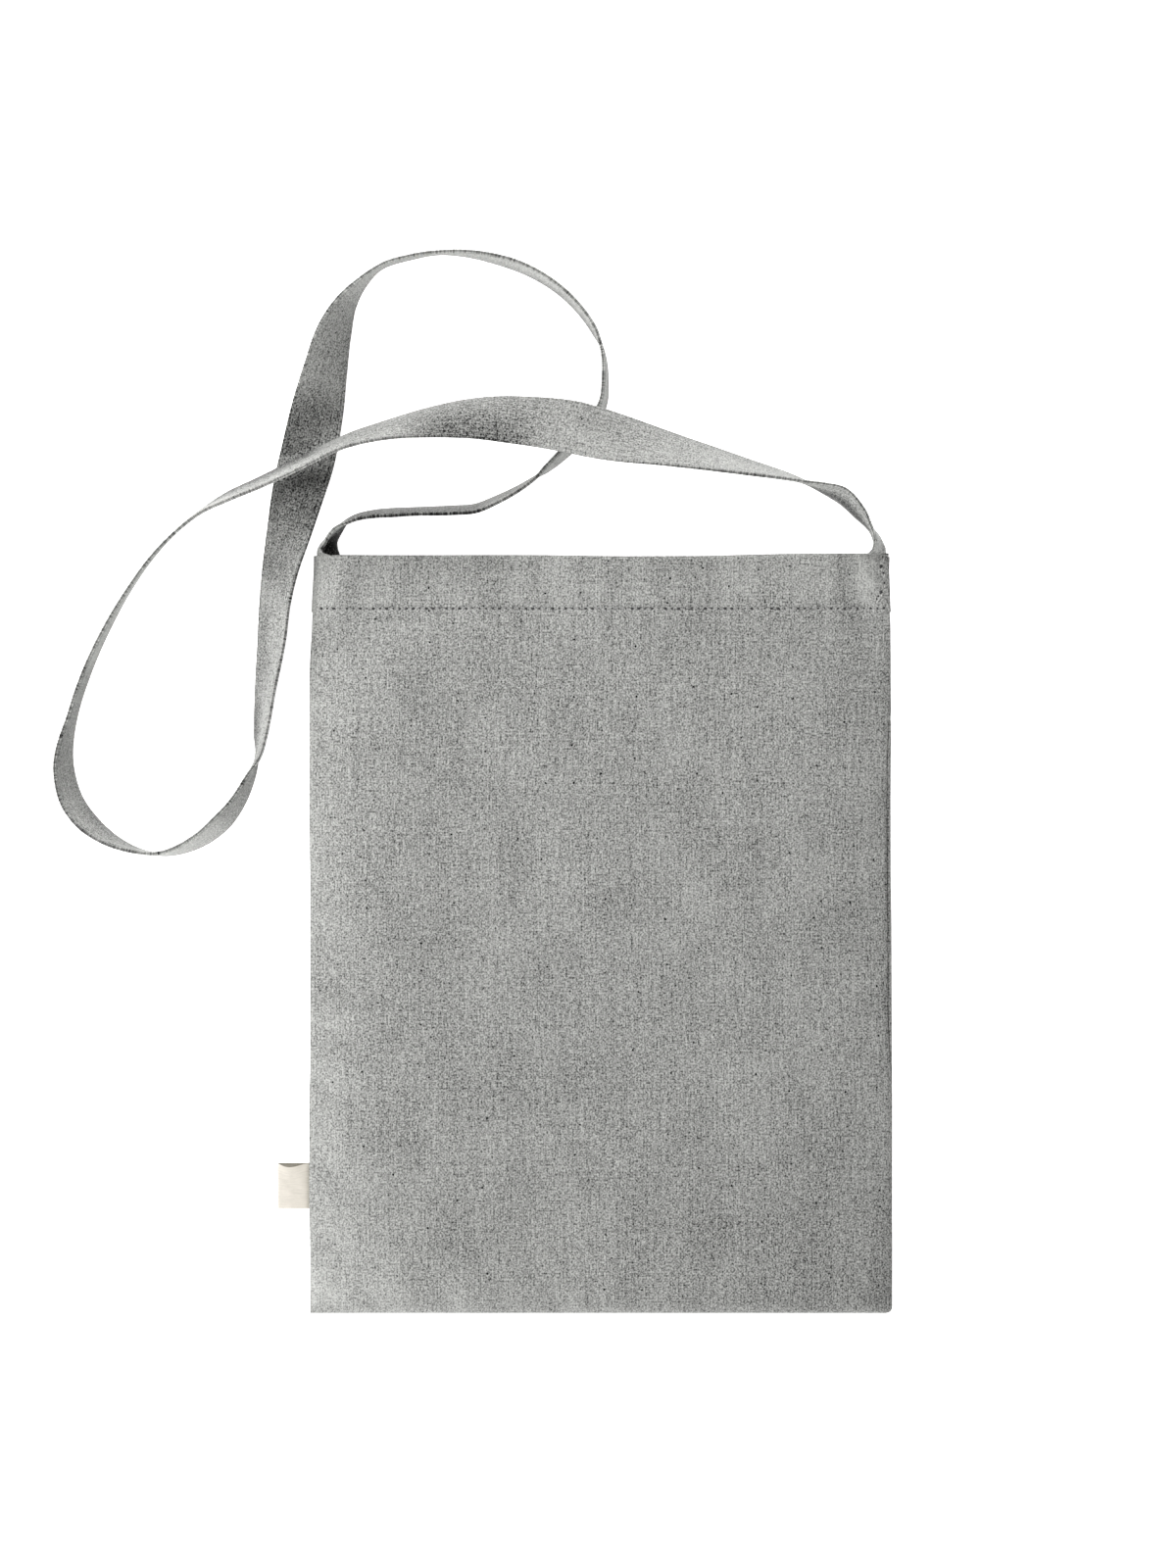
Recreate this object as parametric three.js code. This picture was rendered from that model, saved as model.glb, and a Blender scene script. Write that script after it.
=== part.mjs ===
// Flat tote bag of woven cotton, lying empty on its back panel, with one long shoulder strap.
// Millimetres, +Z up. The origin is the middle of the face that it lies on,
// +X runs to the right across the panels and +Y towards the mouth.
import * as THREE from "three";

// Driving dimensions
const BAG_LENGTH = 416; // bottom seam to mouth
const BAG_WIDTH = 320; // across the bottom
const MOUTH_WIDTH = 316.5; // across the mouth
const TAPER_LENGTH = 120; // over which the panels narrow to the mouth
const CORNER_RADIUS = 5; // bottom corner on the right, which is turned out round
const CLOTH = 1.0; // one layer of cloth
const GAP = 0.3; // between pieces that touch
const HEM_DEPTH = 29; // cloth turned in along the mouth
const LOFT = 8.5; // top of the front panel above the floor
const SHOULDER = 14; // width over which the front panel comes down to a sewn edge
const SEAM_ROLL = 1.6; // how far the front panel is drawn in where the right seam rolls over
const ROLL_FROM = -40; // the rolled stretch of that seam, and the length over which it fades
const ROLL_TO = 90;
const ROLL_BLEND = 50;
const MOUTH_LIFT = 4.8; // how far the strap props up each corner of the mouth
const TAIL_BLEND = 24; // length below the hem over which a side seam thickens for the strap
const HEM_STEP = 0.6; // half the width of the step from one layer of cloth to two

const STRAP_WIDTH = 30;
const STRAP_THICKNESS = 1.6; // four layers
const STRAP_FOLD_RADIUS = 0.95; // of its middle layer where it is folded into a side seam
const STRAP_STEP = 9.5; // distance between two sections of the strap

const LABEL_TALL = 25;
const LABEL_OUT = 17.5; // how far it stands out of the seam
const LABEL_IN = 5; // how far it runs into the seam
const LABEL_MIDDLE_Y = -139;
const LABEL_TAPE = 1.0; // thickness of the tape
const LABEL_LOOP = 2.0; // height between its two layers at the fold, middle to middle
const LABEL_BLEND = 15; // length over which the seam rises to let it in

// The strap, from the left side seam to the right one.
// x, y: its middle line. lean: degrees that its first edge leans from upright to the right of the way along:
// it makes half a turn where the strap lies flat, and then stands on that edge.
// fold: degrees that it is folded along the middle line. lift: height of its lowest point.
const STRAP_ROUTE = [
  { x: -156, y: 181, lean: 0, fold: 180, lift: 2.3 }, // tail inside the left seam
  { x: -156, y: 202, lean: 0, fold: 180, lift: 2.3 },
  { x: -156, y: 211, lean: -5, fold: 165, lift: 2.8 }, // mouth
  { x: -154, y: 216, lean: -14, fold: 48, lift: 1.5 },
  { x: -148, y: 222.5, lean: -9, fold: 20, lift: 0.3 }, // opened out, standing on its edge
  { x: -137, y: 229, lean: 4, fold: 6, lift: 0 },
  { x: -104, y: 232, lean: 8, fold: 0, lift: 0 },
  { x: -78, y: 232.5, lean: 9, fold: 0, lift: 0 },
  { x: -58, y: 238, lean: 8, fold: 0, lift: 0 },
  { x: -36, y: 251.5, lean: 2, fold: 0, lift: 0 },
  { x: -10, y: 276, lean: -9, fold: 0, lift: 0 }, // passes under the upper strand
  { x: 2.5, y: 304, lean: -5, fold: 0, lift: 0 },
  { x: 0, y: 324, lean: -1, fold: 0, lift: 0 },
  { x: -15, y: 347, lean: 3, fold: 0, lift: 0 },
  { x: -48, y: 368.5, lean: 5, fold: 0, lift: 0 }, // top of the upper loop
  { x: -90, y: 375, lean: 4, fold: 0, lift: 0 },
  { x: -121, y: 366.5, lean: 9, fold: 0, lift: 0 },
  { x: -139, y: 347, lean: 26, fold: 0, lift: 0 },
  { x: -152, y: 309.5, lean: 50, fold: 0, lift: 0 },
  { x: -157, y: 287, lean: 66, fold: 0, lift: 0 },
  { x: -162, y: 266, lean: 84, fold: 0, lift: 0 }, // lies flat under the upper strand
  { x: -172, y: 222, lean: 126, fold: 0, lift: 0 },
  { x: -180, y: 180, lean: 147, fold: 0, lift: 0 },
  { x: -185, y: 136, lean: 158, fold: 0, lift: 0 },
  { x: -189.5, y: 98, lean: 177, fold: 0, lift: 0 },
  { x: -202, y: 70, lean: 192, fold: 0, lift: 0 },
  { x: -221, y: 51.5, lean: 191, fold: 0, lift: 0 },
  { x: -245, y: 44, lean: 181, fold: 0, lift: 0 }, // foot of the left loop
  { x: -276, y: 56, lean: 167, fold: 0, lift: 0 },
  { x: -295, y: 89, lean: 164, fold: 0, lift: 0 },
  { x: -290, y: 123, lean: 175, fold: 0, lift: 0 },
  { x: -271, y: 169, lean: 179, fold: 0, lift: 0 },
  { x: -238, y: 216.5, lean: 184, fold: 0, lift: 0 },
  { x: -204, y: 240, lean: 188, fold: 0, lift: 2 },
  { x: -164, y: 259.2, lean: 189, fold: 0, lift: 8.5 }, // over the flat strand
  { x: -144, y: 268.4, lean: 190, fold: 0, lift: 11 },
  { x: -120, y: 276, lean: 195, fold: 0, lift: 14 },
  { x: -72, y: 282.6, lean: 226, fold: 0, lift: 23 },
  { x: -14, y: 278, lean: 255, fold: 0, lift: 31 }, // lies over the standing strand
  { x: 36, y: 266, lean: 219, fold: 0, lift: 18 },
  { x: 76, y: 257, lean: 197, fold: 0, lift: 6 },
  { x: 112, y: 249.5, lean: 183, fold: 0, lift: 0 },
  { x: 133, y: 240.5, lean: 168, fold: 0, lift: 0 },
  { x: 143, y: 231.5, lean: 172, fold: 0, lift: 0 },
  { x: 149, y: 225.5, lean: 180, fold: -4, lift: 0 },
  { x: 154.5, y: 217.5, lean: 179, fold: -36, lift: 1.2 },
  { x: 157, y: 211, lean: 174, fold: -163, lift: 2.8 }, // mouth
  { x: 157, y: 202, lean: 180, fold: -180, lift: 2.3 },
  { x: 157, y: 181, lean: 180, fold: -180, lift: 2.3 }, // tail inside the right seam
];

const TOP = BAG_LENGTH / 2;
const BOTTOM = -BAG_LENGTH / 2;
const HEM_LINE = TOP - HEM_DEPTH;
const SEAM = CLOTH + GAP; // underside of the front panel where it is sewn to the back panel
const TAIL_SEAM = 4 * CLOTH + 5 * GAP + 2 * STRAP_THICKNESS; // top of the front panel over a strap tail
const radians = THREE.MathUtils.degToRad;
const { lerp, smoothstep } = THREE.MathUtils;

// A closed sheet of cloth: two faces of rows by columns points, joined round the border.
// place(row, column, side) gives the point on the face of side 1 or -1.
function sheet(rows, columns, place) {
  const points = [];
  for (const side of [1, -1])
    for (let r = 0; r < rows; r++)
      for (let c = 0; c < columns; c++) points.push(...place(r, c, side));
  const at = (r, c, side) => (side > 0 ? 0 : rows * columns) + r * columns + c;
  const faces = [];
  const quad = (a, b, c, d) => faces.push(a, b, c, a, c, d);
  for (let r = 0; r < rows - 1; r++)
    for (let c = 0; c < columns - 1; c++) {
      quad(at(r, c, 1), at(r, c + 1, 1), at(r + 1, c + 1, 1), at(r + 1, c, 1));
      quad(at(r, c, -1), at(r + 1, c, -1), at(r + 1, c + 1, -1), at(r, c + 1, -1));
    }
  for (let c = 0; c < columns - 1; c++) {
    quad(at(0, c, -1), at(0, c + 1, -1), at(0, c + 1, 1), at(0, c, 1));
    quad(at(rows - 1, c, 1), at(rows - 1, c + 1, 1), at(rows - 1, c + 1, -1), at(rows - 1, c, -1));
  }
  for (let r = 0; r < rows - 1; r++) {
    quad(at(r, 0, 1), at(r + 1, 0, 1), at(r + 1, 0, -1), at(r, 0, -1));
    const last = columns - 1;
    quad(at(r, last, -1), at(r + 1, last, -1), at(r + 1, last, 1), at(r, last, 1));
  }
  const geometry = new THREE.BufferGeometry();
  geometry.setAttribute("position", new THREE.Float32BufferAttribute(points, 3));
  geometry.setIndex(faces);
  geometry.computeVertexNormals();
  return geometry;
}

// Left and right edge of a panel at height y: a slight taper to the mouth and one round corner.
function edges(y, roll) {
  const half = lerp(BAG_WIDTH, MOUTH_WIDTH, smoothstep(y, TOP - TAPER_LENGTH, TOP)) / 2;
  const below = Math.max(0, CORNER_RADIUS - (y - BOTTOM));
  const cut = CORNER_RADIUS - Math.sqrt(CORNER_RADIUS ** 2 - below ** 2);
  const above = smoothstep(y, ROLL_FROM - ROLL_BLEND, ROLL_FROM);
  const past = smoothstep(y, ROLL_TO, ROLL_TO + ROLL_BLEND);
  return { left: -half, right: half - cut - roll * (above - past) };
}

// Places of a panel's grid lines: each row runs on to its place in even steps.
function gridLines(from, rows) {
  const lines = [from];
  for (const { to, steps } of rows) {
    const start = lines.at(-1);
    for (let k = 1; k <= steps; k++) lines.push(lerp(start, to, k / steps));
  }
  return lines;
}

// Fractions across a panel and heights up it, close together where it comes down to a sewn edge.
const fromEdge = gridLines(0, [
  { to: SHOULDER, steps: 6 },
  { to: 4 * SHOULDER, steps: 4 },
  { to: BAG_WIDTH / 2, steps: 2 },
]).map((d) => d / BAG_WIDTH);
const ACROSS = [...fromEdge, ...fromEdge.slice(0, -1).map((u) => 1 - u).reverse()];
const UP = gridLines(BOTTOM, [
  { to: BOTTOM + CORNER_RADIUS, steps: 4 },
  { to: BOTTOM + SHOULDER, steps: 3 },
  { to: LABEL_MIDDLE_Y - LABEL_TALL / 2 - LABEL_BLEND, steps: 2 },
  { to: LABEL_MIDDLE_Y - LABEL_TALL / 2, steps: 3 },
  { to: LABEL_MIDDLE_Y + LABEL_TALL / 2, steps: 2 },
  { to: LABEL_MIDDLE_Y + LABEL_TALL / 2 + LABEL_BLEND, steps: 3 },
  { to: HEM_LINE - TAIL_BLEND, steps: 6 },
  { to: HEM_LINE - HEM_STEP, steps: 4 },
  { to: HEM_LINE + HEM_STEP, steps: 1 },
  { to: TOP, steps: 5 },
]);

const wall = (y) => (y > HEM_LINE ? 2 * CLOTH : CLOTH);

// Height of the front panel's upper face.
function frontHeight(x, y) {
  const { left, right } = edges(y, SEAM_ROLL);
  const round = (d) => Math.sin((Math.PI / 2) * Math.min(1, Math.max(0, d / SHOULDER)));
  const rise = round(x - left) * round(right - x) * round(y - BOTTOM);
  const tail = smoothstep(y, HEM_LINE - TAIL_BLEND, HEM_LINE - HEM_STEP);
  const beyond = Math.abs(y - LABEL_MIDDLE_Y) - LABEL_TALL / 2;
  const label = 1 - smoothstep(beyond, 0.1, LABEL_BLEND);
  const plain = SEAM + CLOTH;
  const overLabel = plain + LABEL_LOOP + LABEL_TAPE + 2 * GAP;
  const atLeft = Math.max(lerp(plain, TAIL_SEAM, tail), lerp(plain, overLabel, label));
  const atRight = lerp(plain, TAIL_SEAM, tail);
  const seam = x < 0 ? atLeft : atRight;
  const inward = Math.min(x - left, right - x);
  const hump = (inward / SHOULDER) * Math.exp(1 - inward / SHOULDER);
  const prop = MOUTH_LIFT * hump * smoothstep(y, HEM_LINE + 2, TOP);
  return lerp(seam, Math.max(seam, LOFT), rise) + prop;
}

const frontPanel = sheet(UP.length, ACROSS.length, (r, c, side) => {
  const y = UP[r];
  const { left, right } = edges(y, SEAM_ROLL);
  const x = lerp(left, right, ACROSS[c]);
  return [x, y, frontHeight(x, y) - (side > 0 ? 0 : wall(y))];
});

const BACK_ACROSS = [0, 0.05, 0.15, 0.35, 0.5, 0.65, 0.85, 0.95, 1];
const backPanel = sheet(UP.length, BACK_ACROSS.length, (r, c, side) => {
  const y = UP[r];
  const { left, right } = edges(y, 0);
  return [lerp(left, right, BACK_ACROSS[c]), y, side > 0 ? wall(y) : 0];
});

// The route's rows joined by cubic curves at even steps. Places follow the parabola through three rows,
// the other columns never pass beyond the rows on either side.
function alongRoute(rows, step) {
  const names = ["x", "y", "lean", "fold", "lift"];
  const chord = rows.slice(1).map((row, i) => Math.hypot(row.x - rows[i].x, row.y - rows[i].y));
  const slope = (i, name) => (rows[i + 1][name] - rows[i][name]) / chord[i];
  const tangent = (i, name) => {
    if (i === 0) return slope(0, name);
    if (i === rows.length - 1) return slope(i - 1, name);
    const before = slope(i - 1, name);
    const after = slope(i, name);
    if (name === "x" || name === "y")
      return (before * chord[i] + after * chord[i - 1]) / (chord[i] + chord[i - 1]);
    return before * after > 0 ? (2 * before * after) / (before + after) : 0;
  };
  const stations = [];
  rows.slice(1).forEach((next, i) => {
    const pieces = Math.max(2, Math.round(chord[i] / step));
    for (let k = i === 0 ? 0 : 1; k <= pieces; k++) {
      const t = k / pieces;
      const station = {};
      for (const name of names)
        station[name] =
          (1 + 2 * t) * (1 - t) ** 2 * rows[i][name] +
          t * (1 - t) ** 2 * chord[i] * tangent(i, name) +
          t * t * (3 - 2 * t) * next[name] +
          t * t * (t - 1) * chord[i] * tangent(i + 1, name);
      stations.push(station);
    }
  });
  return stations;
}

// The strap's middle layer across one section: steps along u, turning by the fold near u = 0.
const bend = (STRAP_FOLD_RADIUS * Math.PI) / 2;
const STRAP_ACROSS = [-STRAP_WIDTH / 2, -bend, -bend / 2, 0, bend / 2, bend, STRAP_WIDTH / 2];
function strapSection({ lean, fold, lift }) {
  const turn = (u) => {
    const share = THREE.MathUtils.clamp(u / bend, -1, 1);
    return Math.PI / 2 - radians(lean) - (radians(fold) / 2) * share;
  };
  const middle = STRAP_ACROSS.indexOf(0);
  const points = STRAP_ACROSS.map((u) => ({ u, angle: turn(u), inward: 0, up: 0 }));
  for (const way of [1, -1])
    for (let k = middle + way; points[k]; k += way) {
      const from = points[k - way];
      const angle = turn((points[k].u + from.u) / 2);
      points[k].inward = from.inward + Math.cos(angle) * (points[k].u - from.u);
      points[k].up = from.up + Math.sin(angle) * (points[k].u - from.u);
    }
  const lowest = Math.min(...points.map((p) => p.up - (STRAP_THICKNESS / 2) * Math.abs(Math.cos(p.angle))));
  for (const p of points) p.up += lift - lowest;
  return points;
}

const stations = alongRoute(STRAP_ROUTE, STRAP_STEP);
const strapRows = stations.map((station, i) => {
  const before = stations[Math.max(0, i - 1)];
  const after = stations[Math.min(stations.length - 1, i + 1)];
  const way = new THREE.Vector2(after.x - before.x, after.y - before.y).normalize();
  return { station, inward: new THREE.Vector2(way.y, -way.x), points: strapSection(station) };
});
const strap = sheet(strapRows.length, STRAP_ACROSS.length, (r, c, side) => {
  const { station, inward, points } = strapRows[r];
  const p = points[c];
  const off = (-side * STRAP_THICKNESS) / 2;
  const reach = p.inward + off * Math.sin(p.angle);
  return [station.x + inward.x * reach, station.y + inward.y * reach, p.up - off * Math.cos(p.angle)];
});

// The label: a tape that leaves the seam, turns back over itself and enters it again.
const labelEdge = edges(LABEL_MIDDLE_Y, 0).left;
const loop = LABEL_LOOP / 2;
const low = SEAM + LABEL_TAPE / 2;
const labelPath = new THREE.Path();
labelPath.moveTo(labelEdge + LABEL_IN, low);
labelPath.lineTo(labelEdge - LABEL_OUT + loop, low);
labelPath.absarc(labelEdge - LABEL_OUT + loop, low + loop, loop, -Math.PI / 2, -1.5 * Math.PI, true);
labelPath.lineTo(labelEdge + LABEL_IN, low + LABEL_LOOP);
const labelLine = labelPath.getPoints(8);
const sideLabel = sheet(4, labelLine.length, (r, c, side) => {
  const before = labelLine[Math.max(0, c - 1)];
  const after = labelLine[Math.min(labelLine.length - 1, c + 1)];
  const way = after.clone().sub(before).normalize();
  const off = (side * LABEL_TAPE) / 2;
  const p = labelLine[c];
  const y = LABEL_MIDDLE_Y - LABEL_TALL / 2 + (LABEL_TALL * r) / 3;
  return [p.x - way.y * off, y, p.y + way.x * off];
});

const cloth = new THREE.MeshStandardMaterial({ color: 0x9b9b98, roughness: 0.95 });
const tape = new THREE.MeshStandardMaterial({ color: 0xece4d4, roughness: 0.9 });

const tote = new THREE.Group();
for (const [name, geometry, material] of [
  ["front_panel", frontPanel, cloth],
  ["back_panel", backPanel, cloth],
  ["strap", strap, cloth],
  ["side_label", sideLabel, tape],
]) {
  const mesh = new THREE.Mesh(geometry, material);
  mesh.name = name;
  tote.add(mesh);
}

export default tote;
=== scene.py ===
# %% [markdown]
# A flat cotton tote bag with one long strap, seen from straight above.
#
# The bag lies empty on its back panel on a white table. Its strap is folded into both side seams at
# the mouth and is laid in loops beyond the mouth and to the left. This notebook loads the packed
# solids, works out each piece of cloth as a numpy surface in the same frame, and gives it a woven finish.

import bpy
import numpy as np
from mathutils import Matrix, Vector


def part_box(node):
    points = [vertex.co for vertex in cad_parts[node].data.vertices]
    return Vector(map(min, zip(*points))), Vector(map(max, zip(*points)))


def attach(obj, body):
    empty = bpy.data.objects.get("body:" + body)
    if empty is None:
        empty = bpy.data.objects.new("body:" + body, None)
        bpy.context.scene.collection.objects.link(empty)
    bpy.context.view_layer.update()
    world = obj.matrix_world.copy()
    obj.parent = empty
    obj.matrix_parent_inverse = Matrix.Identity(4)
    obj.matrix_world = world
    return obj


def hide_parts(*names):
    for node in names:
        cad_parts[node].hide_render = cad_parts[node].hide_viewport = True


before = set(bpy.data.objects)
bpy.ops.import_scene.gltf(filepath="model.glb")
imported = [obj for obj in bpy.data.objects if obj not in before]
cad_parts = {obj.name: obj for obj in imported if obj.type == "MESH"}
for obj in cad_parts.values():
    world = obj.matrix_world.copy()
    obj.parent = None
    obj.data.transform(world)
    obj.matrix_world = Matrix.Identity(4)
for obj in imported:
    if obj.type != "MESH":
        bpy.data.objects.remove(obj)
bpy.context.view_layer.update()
MM = 0.001
print("solids:", ", ".join(sorted(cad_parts)))

# %% [markdown]
# The camera comes first, because everything is judged through it. The photograph was taken from
# straight above with a long lens, so a camera 4 m up with a narrow view gives the same outline:
# what stands 30 mm tall is enlarged by less than one percent.

# %% Overhead camera
FRAME_HEIGHT = 864.9 * MM
FRAME_MIDDLE = (-7.0 * MM, 82.4 * MM)
CAMERA_HEIGHT = 4.0
SENSOR = 36.0

camera_data = bpy.data.cameras.new("overhead_camera")
camera_data.sensor_fit = "VERTICAL"
camera_data.sensor_height = SENSOR
camera_data.lens = SENSOR * CAMERA_HEIGHT / FRAME_HEIGHT
camera = bpy.data.objects.new("overhead_camera", camera_data)
camera.location = (*FRAME_MIDDLE, CAMERA_HEIGHT)
bpy.context.scene.collection.objects.link(camera)
bpy.context.scene.camera = camera
print("lens", round(camera_data.lens, 1), "mm")

# %% [markdown]
# The table is a white light table, the kind that clothes are photographed on: it glows a little, so that
# what lies on it has hardly any shadow and the upright strands of the strap are lit from below too. The
# room is white and gives nearly a third of the light, which leaves folds and corners dark. Two large lamps
# stand low on the left, one beyond the strap and one beyond the bottom of the bag, so a strand that crosses
# another shades it on both sides of the crossing. A third hangs near the left side of the bag: its light
# falls off to the right, which is how the eye reads the swell of the cloth. The plain sRGB view keeps
# the table white and the greys as they are.

# %% White table
TABLE_REACH = 4.0
TABLE_DROP = 0.4 * MM
TABLE_WHITE = (0.93, 0.93, 0.93, 1)
TABLE_GLOW = 1.0
WHITE = (1, 1, 1, 1)

table_mesh = bpy.data.meshes.new("table")
table_corner = np.array([(-1, -1), (1, -1), (1, 1), (-1, 1)]) * TABLE_REACH
table_points = np.column_stack([table_corner, np.full(4, -TABLE_DROP)])
table_mesh.from_pydata(table_points.tolist(), [], [(0, 1, 2, 3)])
table = bpy.data.objects.new("table", table_mesh)
bpy.context.scene.collection.objects.link(table)

table_paint = bpy.data.materials.new("white_table")
table_paint.use_nodes = True
table_shader = table_paint.node_tree.nodes["Principled BSDF"]
table_shader.inputs["Base Color"].default_value = TABLE_WHITE
table_shader.inputs["Roughness"].default_value = 0.9
table_shader.inputs["Specular IOR Level"].default_value = 0.1
table_shader.inputs["Emission Color"].default_value = WHITE
table_shader.inputs["Emission Strength"].default_value = TABLE_GLOW
table_mesh.materials.append(table_paint)
print("table", round(2 * TABLE_REACH), "m wide")

# %% White room
ROOM_LIGHT = 0.38

room = bpy.data.worlds.new("white_room")
room.use_nodes = True
room_shader = room.node_tree.nodes["Background"]
room_shader.inputs["Color"].default_value = WHITE
room_shader.inputs["Strength"].default_value = ROOM_LIGHT
bpy.context.scene.world = room
bpy.context.scene.view_settings.view_transform = "Standard"
print("room light", ROOM_LIGHT)

# %% Three large lamps
LAMP_TARGET = np.array([0.0, 0.08, 0.0])


def soft_lamp(name, place, size, energy):
    """A square lamp at a place, turned to face the bag: tilted by its slope and spun to its bearing."""
    data = bpy.data.lights.new(name, "AREA")
    data.shape = "SQUARE"
    data.size = size
    data.energy = energy
    lamp = bpy.data.objects.new(name, data)
    lamp.location = place
    away = np.array(place) - LAMP_TARGET
    tilt = float(np.arctan2(np.hypot(away[0], away[1]), away[2]))
    lamp.rotation_euler = (tilt, 0.0, float(np.arctan2(away[1], away[0]) + np.pi / 2))
    bpy.context.scene.collection.objects.link(lamp)
    print(name, round(float(np.linalg.norm(away)), 2), "m from the bag")


soft_lamp("upper_lamp", (-0.6, 2.08, 0.98), 0.7, 33)
soft_lamp("lower_lamp", (-1.45, -2.43, 1.35), 0.8, 60)
soft_lamp("near_lamp", (-0.62, 0.4, 1.05), 0.5, 7.5)

# %% [markdown]
# Every piece below is a grid of points, so two small helpers do the same work for all of them:
# one lists the four-sided faces between neighbouring points, the other puts points, faces, cloth
# coordinates and a tone value for each point into a mesh. The cloth coordinates are lengths in metres
# along the yarn, so the weave keeps its size where the cloth bends. The tone is used by the finish mostly
# to paint light and shade: painted highlights on folds and edges, painted shade in slits and hollows.


# %% Grid faces and a mesh from arrays
def grid_faces(rows, columns, ring=False):
    """Four-sided faces between neighbours of a rows by columns grid, closed round for a ring."""
    row, column = np.meshgrid(np.arange(rows - 1), np.arange(columns - (not ring)), indexing="ij")
    here = row * columns + column
    beside = row * columns + (column + 1) % columns
    return np.stack([here, beside, beside + columns, here + columns], -1).reshape(-1, 4)


def cloth_piece(name, points, faces, yarn, finish, tone=None):
    """A smooth mesh object of the points and faces, with cloth coordinates and a tone at each point."""
    points = np.asarray(points).reshape(-1, 3)
    yarn = np.asarray(yarn).reshape(-1, 2)
    mesh = bpy.data.meshes.new(name)
    mesh.from_pydata(points.tolist(), [], [f.tolist() for f in faces])
    corner = np.empty(len(mesh.loops), dtype=np.int32)
    mesh.loops.foreach_get("vertex_index", corner)
    mesh.uv_layers.new(name="yarn").data.foreach_set("uv", yarn[corner].astype(np.float32).ravel())
    tone = np.zeros(len(points)) if tone is None else np.asarray(tone).ravel()
    mesh.attributes.new("tone", "FLOAT", "POINT").data.foreach_set("value", tone.astype(np.float32))
    mesh.shade_smooth()
    mesh.materials.append(finish)
    piece = bpy.data.objects.new(name, mesh)
    bpy.context.scene.collection.objects.link(piece)
    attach(piece, "root")
    print(name, len(points), "points,", len(mesh.polygons), "faces")
    return piece


# %% [markdown]
# The cloth is a plain weave of mixed grey cotton. Each yarn is spun from light and dark fibre, so its
# shade drifts along its length, and warp and weft take turns on top. Small knots of fibre show as dark
# and light flecks, and the cloth has soft cloudy patches from washing. A picture could carry all of it,
# but nodes on the cloth coordinates stay sharp at any distance, so the weave is worked out by nodes.


# %% Node helpers
def new_finish(name):
    """A new node material, its tree and its shader."""
    finish = bpy.data.materials.new(name)
    finish.use_nodes = True
    return finish, finish.node_tree, finish.node_tree.nodes["Principled BSDF"]


def put(tree, kind, settings=None, **inputs):
    """A new node with its settings, its inputs set to values or linked to sockets.

    An input goes by its label, or by the letter n and its place among the inputs."""
    made = tree.nodes.new(kind)
    for key, value in (settings or {}).items():
        setattr(made, key, value)
    for key, value in inputs.items():
        socket = made.inputs[int(key[1:]) if key.startswith("n") else key.replace("_", " ")]
        if isinstance(value, bpy.types.NodeSocket):
            tree.links.new(value, socket)
        else:
            socket.default_value = value
    return made


def calc(tree, operation, a, b=0.0, c=0.0):
    """The result socket of one Math node."""
    return put(tree, "ShaderNodeMath", {"operation": operation}, n0=a, n1=b, n2=c).outputs[0]


def patches(tree, where, scale, detail=2.0, roughness=0.5, stretch=(1, 1, 1), shift=(0, 0, 0)):
    """Soft noise with about that many patches a metre, stretched along the cloth, mostly from -1 to 1."""
    size = tuple(scale * s for s in stretch)
    spot = put(tree, "ShaderNodeMapping", None, Vector=where, Scale=size, Location=shift).outputs[0]
    noise = put(
        tree,
        "ShaderNodeTexNoise",
        {"noise_dimensions": "2D"},
        Vector=spot,
        Scale=1.0,
        Detail=detail,
        Roughness=roughness,
    )
    return calc(tree, "MULTIPLY_ADD", noise.outputs["Fac"], 4.0, -2.0)


def colour_by(tree, shader, shade, dark, light):
    """Colours the shader by a ramp from dark at shade 0 to light at shade 1."""
    ramp = put(tree, "ShaderNodeValToRGB", None, Fac=shade)
    ramp.color_ramp.elements[0].color = (*dark, 1)
    ramp.color_ramp.elements[1].color = (*light, 1)
    tree.links.new(ramp.outputs["Color"], shader.inputs["Base Color"])


def raise_by(tree, shader, height, strength, distance):
    """Gives the shader the relief of a height, as a bump of a strength and a distance in metres."""
    bump = put(tree, "ShaderNodeBump", None, Strength=strength, Distance=distance, Height=height)
    tree.links.new(bump.outputs["Normal"], shader.inputs["Normal"])


def point_tone(tree):
    """The tone that the mesh carries at each point."""
    return put(tree, "ShaderNodeAttribute", {"attribute_name": "tone"}).outputs["Fac"]


print("materials so far:", len(bpy.data.materials))

# %% Weave and flecks
YARN_PITCH = 0.62 * MM
SPECK_CORE = 0.35


def weave(tree, where):
    """Height of a plain weave: two sets of round yarn, each rising where the other dips.

    Across a yarn the height is the size of a sine. Along it a second sine, turned over on every
    other yarn, lifts it and lets it sink. The higher of the two yarns shows."""
    split = put(tree, "ShaderNodeSeparateXYZ", None, Vector=where)
    x = calc(tree, "DIVIDE", split.outputs[0], YARN_PITCH)
    y = calc(tree, "DIVIDE", split.outputs[1], YARN_PITCH)
    across_x = calc(tree, "SINE", calc(tree, "MULTIPLY", x, np.pi))
    across_y = calc(tree, "SINE", calc(tree, "MULTIPLY", y, np.pi))
    over = calc(tree, "MULTIPLY_ADD", calc(tree, "MULTIPLY", across_x, across_y), 0.5, 0.5)
    under = calc(tree, "SUBTRACT", 1.0, over)
    warp = calc(tree, "MULTIPLY", calc(tree, "ABSOLUTE", across_x), over)
    weft = calc(tree, "MULTIPLY", calc(tree, "ABSOLUTE", across_y), under)
    return calc(tree, "MAXIMUM", warp, weft)


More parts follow.
